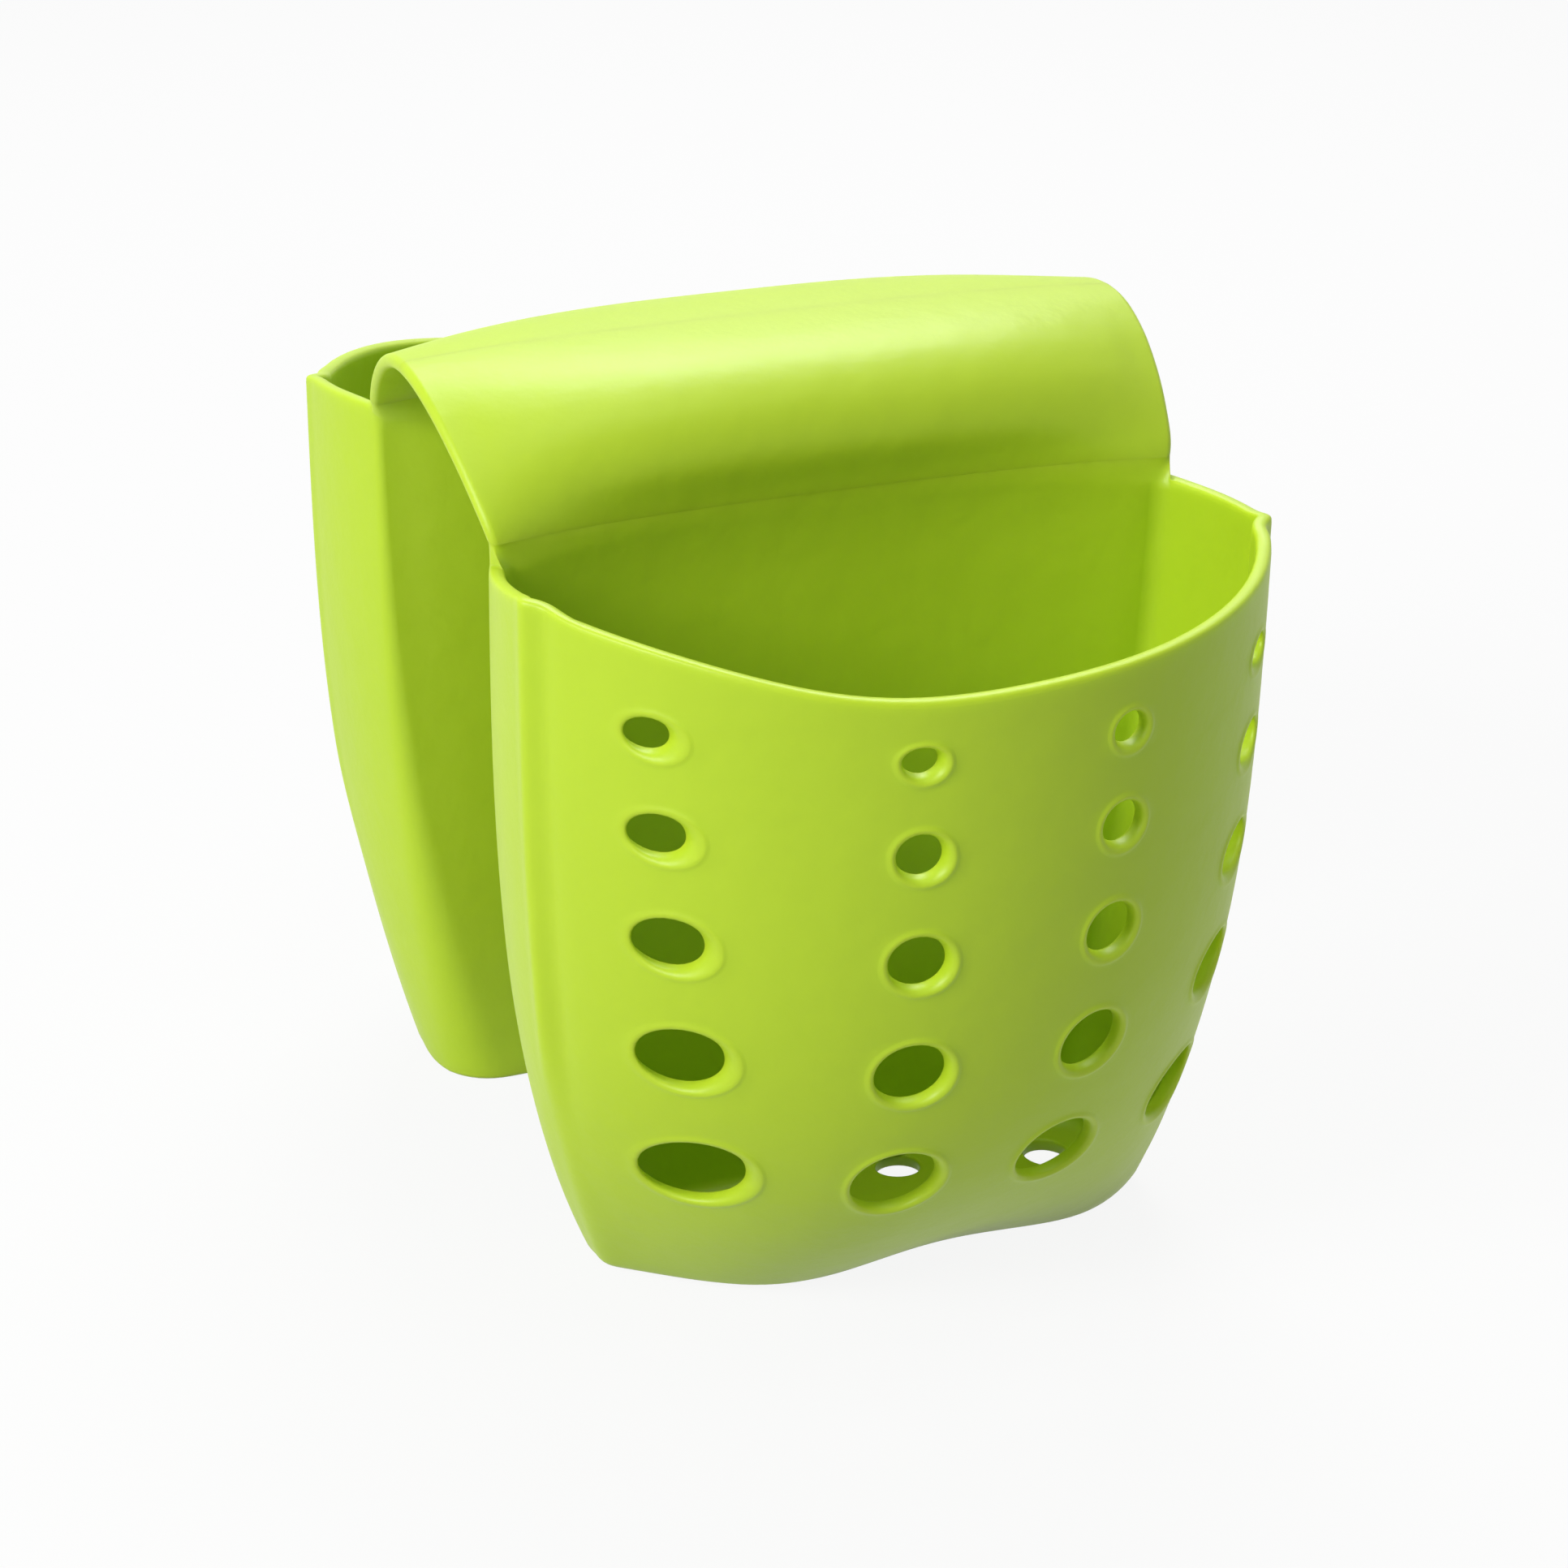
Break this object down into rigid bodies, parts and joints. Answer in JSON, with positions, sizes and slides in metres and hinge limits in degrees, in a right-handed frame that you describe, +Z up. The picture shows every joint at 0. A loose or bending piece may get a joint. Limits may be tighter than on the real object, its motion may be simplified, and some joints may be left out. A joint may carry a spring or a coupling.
{
  "type": "kitchen sink caddy",
  "caption": "Soft moulded kitchen sink caddy: perforated bow-fronted pockets on both sides of an arched saddle that straddles a sink divider.",
  "frame": {"origin": "on the resting plane, under the middle of the divider slot and at mid width", "axes": "+Z up, +X along the slot and the saddle, -Y towards the front pocket"},
  "size_m": [0.132, 0.2064, 0.1546],
  "materials": {
    "soft_plastic": "satin lime green soft plastic with a fine moulded grain"
  },
  "bodies": {
    "saddle": {"saddle_crown": "soft_plastic"},
    "front_pocket": {"front_slot_wall": "soft_plastic", "front_perforated_panel": "soft_plastic", "front_floor": "soft_plastic"},
    "back_pocket": {"back_slot_wall": "soft_plastic", "back_perforated_panel": "soft_plastic", "back_floor": "soft_plastic"}
  },
  "joints": [
    {"name": "front_pocket_splay", "type": "hinge", "parent": "saddle", "child": "front_pocket", "pos_m": [0, -0.03225, 0.129], "axis": [-1, 0, 0], "range_deg": [-6, 15], "stiffness_Nm_per_rad": 0.3, "deforming": ["saddle_crown"]},
    {"name": "back_pocket_splay", "type": "hinge", "parent": "saddle", "child": "back_pocket", "pos_m": [0, 0.03225, 0.129], "axis": [1, 0, 0], "range_deg": [-6, 15], "stiffness_Nm_per_rad": 0.3, "deforming": ["saddle_crown"]}
  ]
}
